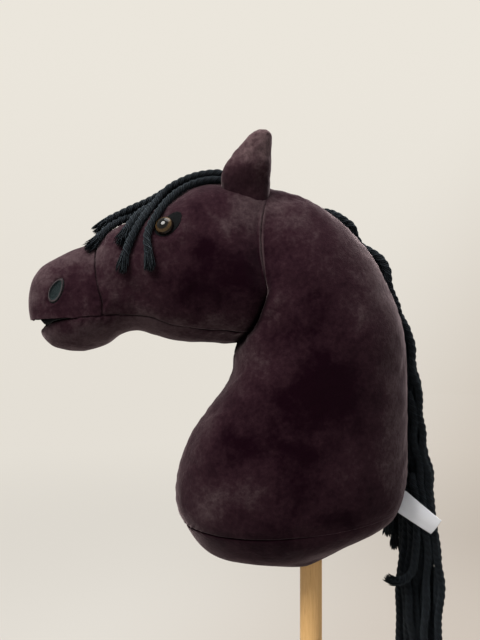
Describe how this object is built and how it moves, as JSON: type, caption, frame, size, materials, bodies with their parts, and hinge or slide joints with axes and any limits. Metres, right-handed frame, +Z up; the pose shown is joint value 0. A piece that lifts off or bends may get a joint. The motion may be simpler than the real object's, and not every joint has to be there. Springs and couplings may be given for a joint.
{
  "type": "hobby horse",
  "caption": "Stuffed plush horse head and neck on a straight round wooden stick, with a twisted cord mane and forelock. The head pulls up off the stick.",
  "frame": {"origin": "centre of the flat end face at the stick's foot", "axes": "+Z up along the stick's axis; the horse faces -X, its left side is -Y"},
  "size_m": [0.4165, 0.144, 0.979],
  "materials": {
    "wood": "smooth sanded pine",
    "sleeve_tube": "plain",
    "stuffing": "loose fibre",
    "plush": "short dark brown pile",
    "ear_plush": "short dark brown pile",
    "felt": "black felt",
    "nostril_felt": "dark grey felt",
    "amber_eye": "clear gloss over amber",
    "washer": "plain",
    "cord": "black twisted cotton",
    "tape": "black woven tape",
    "ribbon": "white satin ribbon"
  },
  "bodies": {
    "stick": {"stick": "wood"},
    "head": {"stick_sleeve": "sleeve_tube", "neck_fill": "stuffing", "head_fill": "stuffing", "muzzle_fill": "stuffing", "jaw_fill": "stuffing", "neck_panel_left": "plush", "neck_panel_right": "plush", "base_gusset": "plush", "cheek_panel_left": "plush", "cheek_panel_right": "plush", "muzzle_panel": "plush", "jaw_gusset": "plush", "mouth_lining_upper": "felt", "mouth_lining_lower": "felt", "ear_outer_left": "ear_plush", "ear_outer_right": "ear_plush", "ear_lining_left": "ear_plush", "ear_lining_right": "ear_plush", "eye_left": "amber_eye", "eye_right": "amber_eye", "eye_washer_left": "washer", "eye_washer_right": "washer", "eye_patch_left": "felt", "eye_patch_right": "felt", "nostril_left": "nostril_felt", "nostril_right": "nostril_felt", "care_label": "ribbon", "mane_tape": "tape", "forelock_cord_1": "cord", "forelock_cord_2": "cord", "forelock_cord_3": "cord", "forelock_cord_4": "cord", "forelock_cord_5": "cord", "forelock_cord_6": "cord", "forelock_cord_7": "cord", "mane_cord_01": "cord", "mane_cord_02": "cord", "mane_cord_03": "cord", "mane_cord_04": "cord", "mane_cord_05": "cord", "mane_cord_06": "cord", "mane_cord_07": "cord", "mane_cord_08": "cord", "mane_cord_09": "cord", "mane_cord_10": "cord", "mane_cord_11": "cord", "mane_cord_12": "cord", "mane_cord_13": "cord", "mane_cord_14": "cord", "mane_cord_15": "cord", "mane_cord_16": "cord", "mane_cord_17": "cord", "mane_cord_18": "cord", "mane_cord_19": "cord", "mane_cord_20": "cord", "mane_cord_21": "cord", "mane_cord_22": "cord"}
  },
  "joints": [
    {"name": "head_lift", "type": "slide", "parent": "stick", "child": "head", "axis": [0, 0, 1], "range_m": [0, 0.28]}
  ]
}
